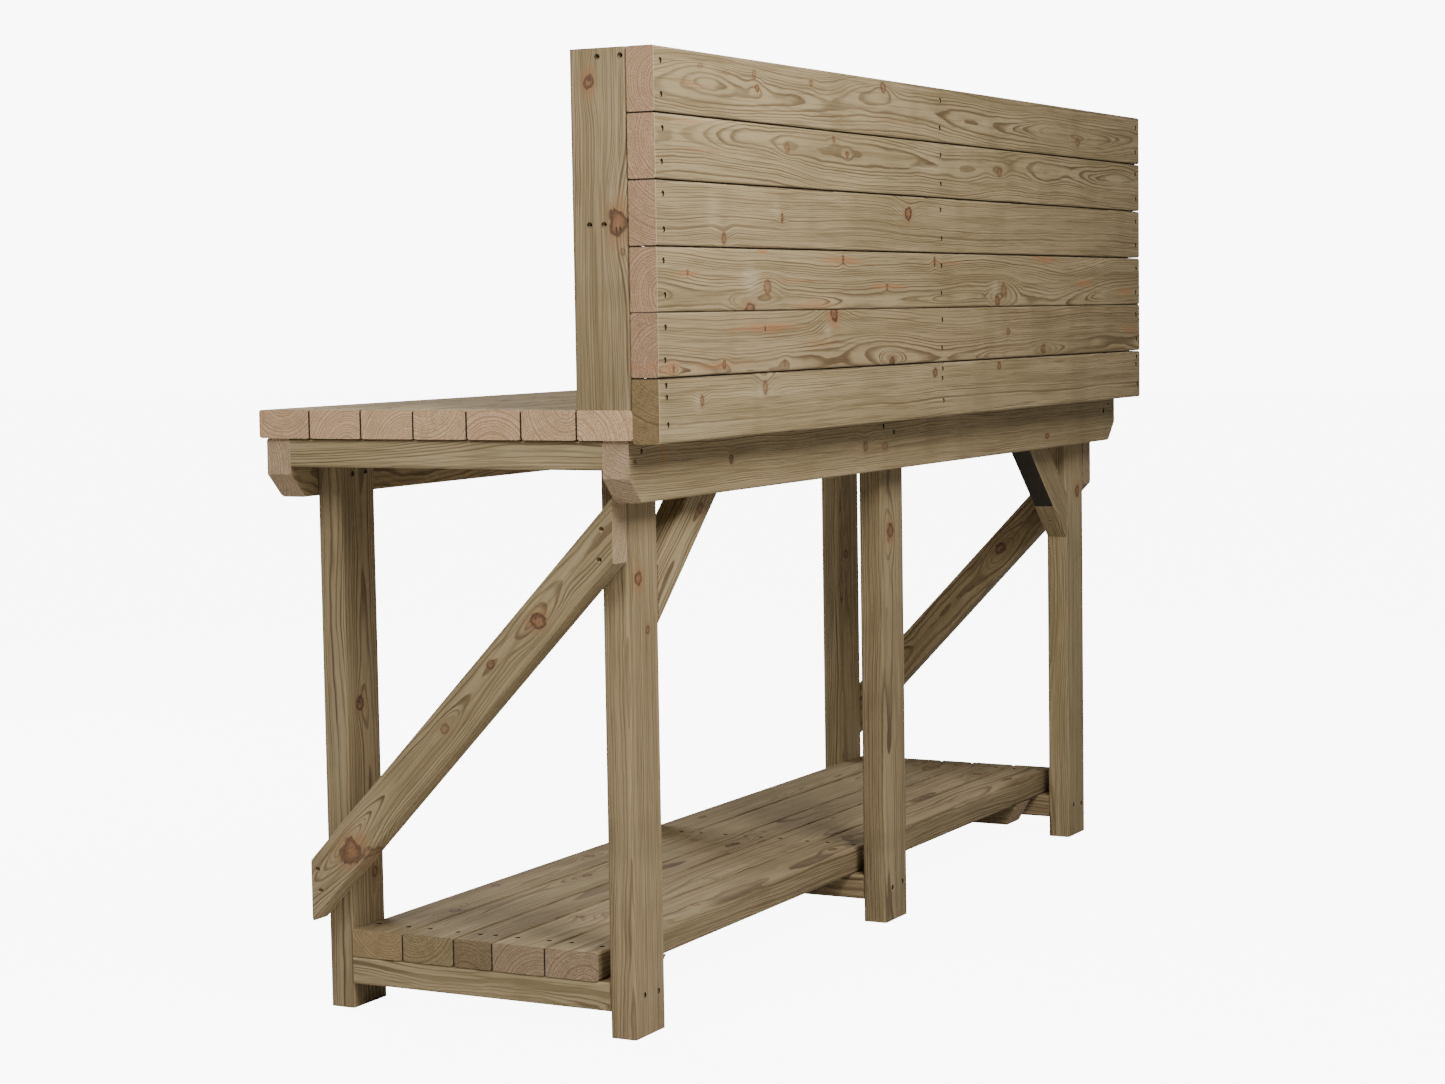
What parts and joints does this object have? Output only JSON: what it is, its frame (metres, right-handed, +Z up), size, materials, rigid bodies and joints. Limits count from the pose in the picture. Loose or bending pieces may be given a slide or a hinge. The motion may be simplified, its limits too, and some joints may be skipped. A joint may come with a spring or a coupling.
{
  "type": "potting bench",
  "caption": "Timber potting bench with a slatted worktop on six legs, a low slatted shelf, a boarded back with narrow shelves, and diagonal end braces.",
  "frame": {"origin": "on the ground, under the middle of the whole bench", "axes": "+X along the bench, +Y from the front working edge to the boarded back, +Z up"},
  "size_m": [2.1, 0.719, 1.495],
  "materials": {
    "treated_pine": "matte",
    "screw_steel": "weathered"
  },
  "bodies": {
    "root": {"back_board_1": "treated_pine", "back_board_2": "treated_pine", "back_board_3": "treated_pine", "back_board_4": "treated_pine", "back_board_5": "treated_pine", "back_board_6": "treated_pine", "back_board_screws": "screw_steel", "back_post_left": "treated_pine", "back_post_middle": "treated_pine", "back_post_right": "treated_pine", "back_shelf_left": "treated_pine", "back_shelf_right": "treated_pine", "cleat_screws": "screw_steel", "end_brace_left": "treated_pine", "end_brace_right": "treated_pine", "end_brace_screws": "screw_steel", "end_post_screws": "screw_steel", "front_leg_left": "treated_pine", "front_leg_middle": "treated_pine", "front_leg_right": "treated_pine", "front_rail": "treated_pine", "knee_brace_left": "treated_pine", "knee_brace_right": "treated_pine", "knee_brace_screws": "screw_steel", "leg_foot_screws": "screw_steel", "leg_head_screws": "screw_steel", "lower_cross_rail_left": "treated_pine", "lower_cross_rail_middle": "treated_pine", "lower_cross_rail_right": "treated_pine", "middle_post_screws": "screw_steel", "rail_screws": "screw_steel", "rear_leg_left": "treated_pine", "rear_leg_middle": "treated_pine", "rear_leg_right": "treated_pine", "rear_rail": "treated_pine", "shelf_board_1": "treated_pine", "shelf_board_2": "treated_pine", "shelf_board_3": "treated_pine", "shelf_board_4": "treated_pine", "shelf_board_5": "treated_pine", "shelf_cleat_left": "treated_pine", "shelf_cleat_right": "treated_pine", "shelf_screws": "screw_steel", "top_ledge_left": "treated_pine", "top_ledge_right": "treated_pine", "upper_cross_rail_left": "treated_pine", "upper_cross_rail_middle": "treated_pine", "upper_cross_rail_right": "treated_pine", "worktop_board_1": "treated_pine", "worktop_board_2": "treated_pine", "worktop_board_3": "treated_pine", "worktop_board_4": "treated_pine", "worktop_board_5": "treated_pine", "worktop_board_6": "treated_pine", "worktop_board_7": "treated_pine", "worktop_screws": "screw_steel"}
  },
  "joints": []
}
